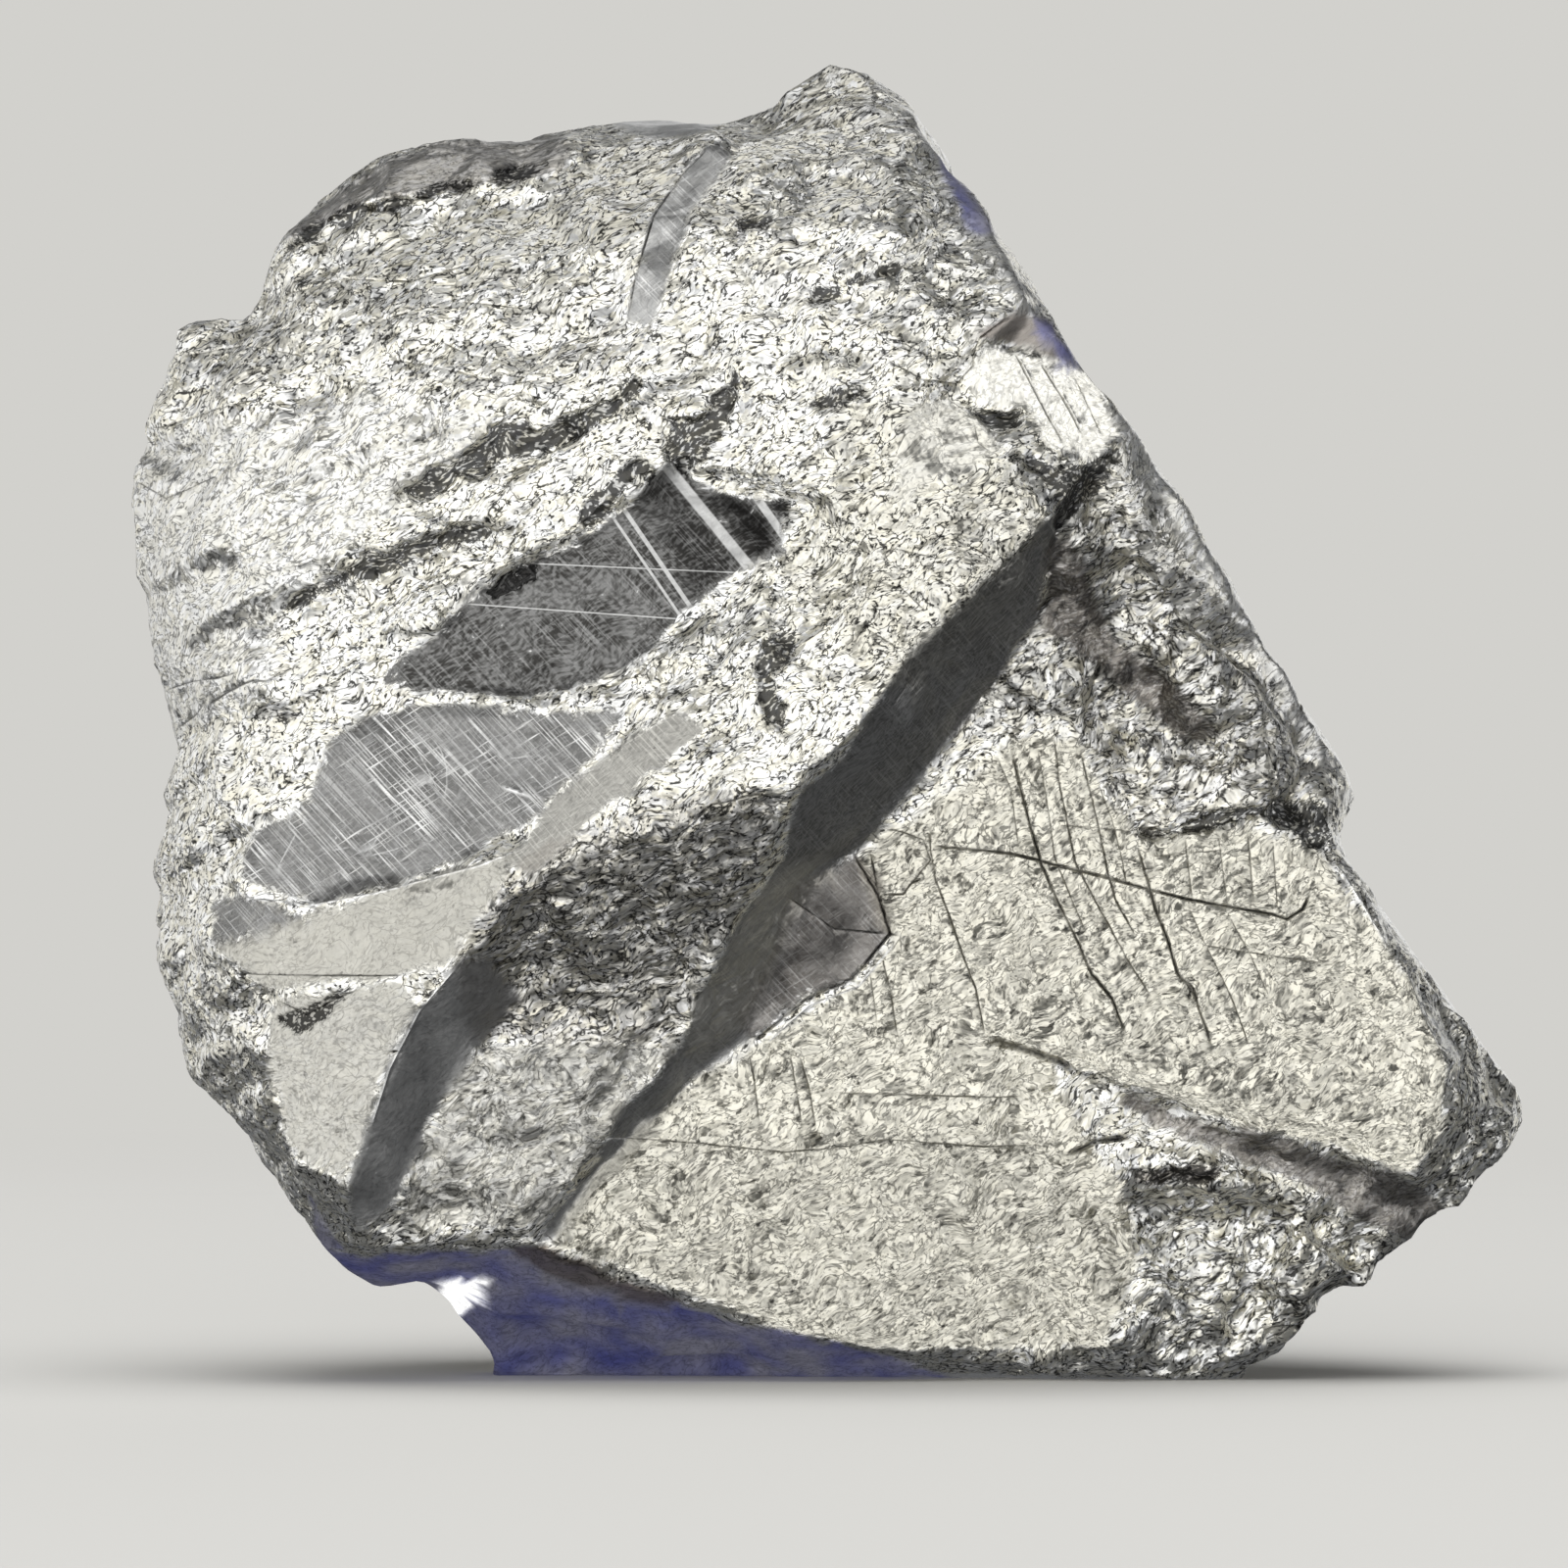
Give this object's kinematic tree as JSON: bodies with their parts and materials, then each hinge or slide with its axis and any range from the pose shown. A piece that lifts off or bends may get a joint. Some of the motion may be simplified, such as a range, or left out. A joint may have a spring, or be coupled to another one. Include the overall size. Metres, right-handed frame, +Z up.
{
  "type": "pyrite cluster",
  "caption": "Palm-sized lump of intergrown, mostly massive pyrite: one flat cleaved side, a diagonal gully, striated crystal faces and a rough broken back; stands on a flat break.",
  "frame": {"origin": "middle of the bounding box, on the plane of the flat break it stands on", "axes": "+Z up, -Y towards the best face with the gully, +X towards the pointed lower corner"},
  "size_m": [0.0708, 0.042, 0.0667],
  "materials": {
    "pyrite": "natural pyrite, pale silvery brass with metallic lustre; sparkling on broken grain, satin on striated crystal faces, blue-violet tarnish on the lower front edge"
  },
  "bodies": {
    "root": {"pyrite": "pyrite"}
  },
  "joints": []
}
